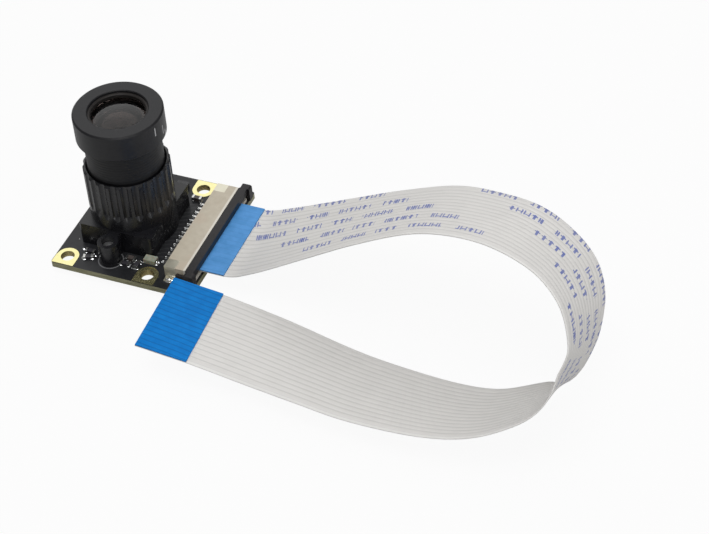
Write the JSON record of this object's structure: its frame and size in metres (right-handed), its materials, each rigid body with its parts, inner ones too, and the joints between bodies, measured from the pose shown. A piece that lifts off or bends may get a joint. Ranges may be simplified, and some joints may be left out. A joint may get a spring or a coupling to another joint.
{
  "type": "camera module",
  "caption": "Board camera module with a fluted lens holder, a screw-in lens that turns to focus, and a flat ribbon cable.",
  "frame": {"origin": "on the lens axis at the board's underside, in the middle of the four fixing holes", "axes": "+Z along the lens axis out of the lens, +X towards the ribbon connector, +Y away from the viewer's side"},
  "size_m": [0.087, 0.0432, 0.0253],
  "materials": {
    "board": "satin",
    "gold": "satin",
    "moulding": "matte",
    "steel": "satin",
    "filter_glass": "gloss",
    "ceramic": "matte",
    "chip": "gloss",
    "lens_glass": "gloss",
    "lens_metal": "satin",
    "cream_plastic": "matte",
    "tinned": "satin",
    "latch_plastic": "matte",
    "ribbon_film": "satin",
    "blue_film": "satin",
    "lamp_plastic": "gloss",
    "capacitor_ceramic": "matte",
    "resistor_ceramic": "matte"
  },
  "bodies": {
    "camera_board": {"board": "board", "hole_rings": "gold", "lens_holder": "moulding", "holder_screws": "steel", "filter_pane": "filter_glass", "sensor_package": "ceramic", "sensor_chip": "chip", "sensor_cover": "lens_glass", "connector_housing": "cream_plastic", "connector_contacts": "tinned", "connector_tabs": "tinned", "ribbon_cable": "ribbon_film", "board_end_stiffener": "blue_film", "board_end_fingers": "tinned", "free_end_stiffener": "blue_film", "free_end_fingers": "tinned", "status_lamp": "lamp_plastic", "chip_capacitors": "capacitor_ceramic", "chip_resistors": "resistor_ceramic", "chip_ends": "tinned", "regulator": "moulding", "oscillator": "tinned"},
    "latch": {"connector_latch": "latch_plastic"},
    "focus_carriage": {"front_glass": "lens_glass"},
    "lens": {"lens_barrel": "lens_metal", "front_ring": "lens_metal", "middle_glass": "lens_glass", "spacer_tube": "lens_metal", "rear_glass": "lens_glass", "rear_ring": "lens_metal"}
  },
  "joints": [
    {"name": "focus_travel", "type": "slide", "parent": "camera_board", "child": "focus_carriage", "axis": [0, 0, 1], "range_m": [-0.002, 0.001]},
    {"name": "focus_turn", "type": "hinge", "parent": "focus_carriage", "child": "lens", "pos_m": [0, 0, 0], "axis": [0, 0, 1], "range_deg": [-1441, 721]},
    {"name": "latch_slide", "type": "slide", "parent": "camera_board", "child": "latch", "axis": [1, 0, 0], "range_m": [0, 0.0012]}
  ],
  "couplings": [
    {"joint": "focus_turn", "follows": "focus_travel", "rad_per_m": 12566}
  ]
}
